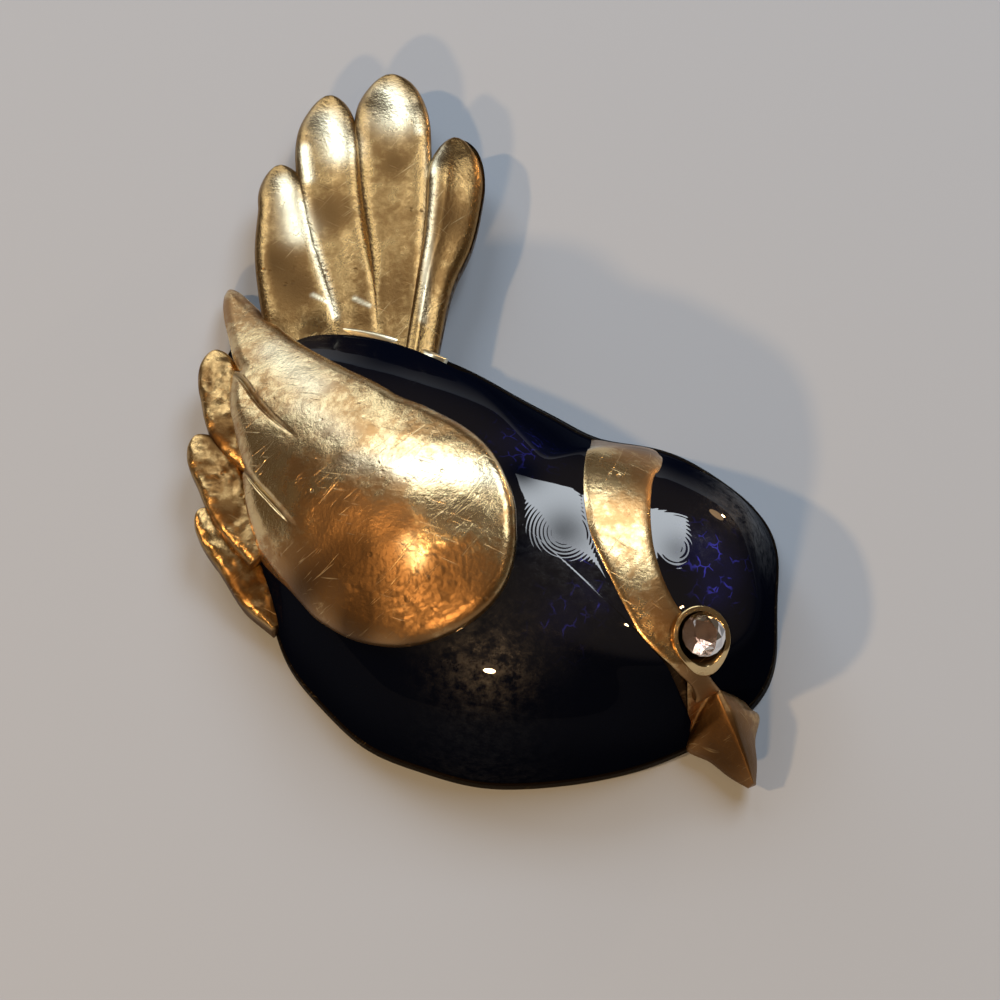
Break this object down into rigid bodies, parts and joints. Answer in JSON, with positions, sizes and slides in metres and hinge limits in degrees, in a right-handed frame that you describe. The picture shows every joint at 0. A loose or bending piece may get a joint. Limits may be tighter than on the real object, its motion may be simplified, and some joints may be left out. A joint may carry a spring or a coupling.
{
  "type": "figural bird brooch",
  "caption": "Small hollow-backed cast bird brooch with a fanned tail, a raised drop-shaped wing, dark enamel body and crown, a set eye stone and a plain pin.",
  "frame": {"origin": "middle of the whole brooch's footprint, in the plane of the base rim that it lies on", "axes": "+Z out of the brooch's front, +Y towards the tail, +X towards the side that the beak is on"},
  "size_m": [0.0342, 0.0458, 0.012],
  "materials": {
    "gold_plate": "worn pale gold plate, polished, with tarnish in the recesses",
    "body_enamel": "dark navy translucent enamel, glossy",
    "crown_enamel": "dark navy translucent enamel, glossy",
    "eye_stone": "clear faceted glass",
    "pin_metal": "plain satin metal"
  },
  "bodies": {
    "root": {"bird_casting": "gold_plate", "body_enamel": "body_enamel", "crown_enamel": "crown_enamel", "eye_stone": "eye_stone", "brooch_pin": "pin_metal"}
  },
  "joints": []
}
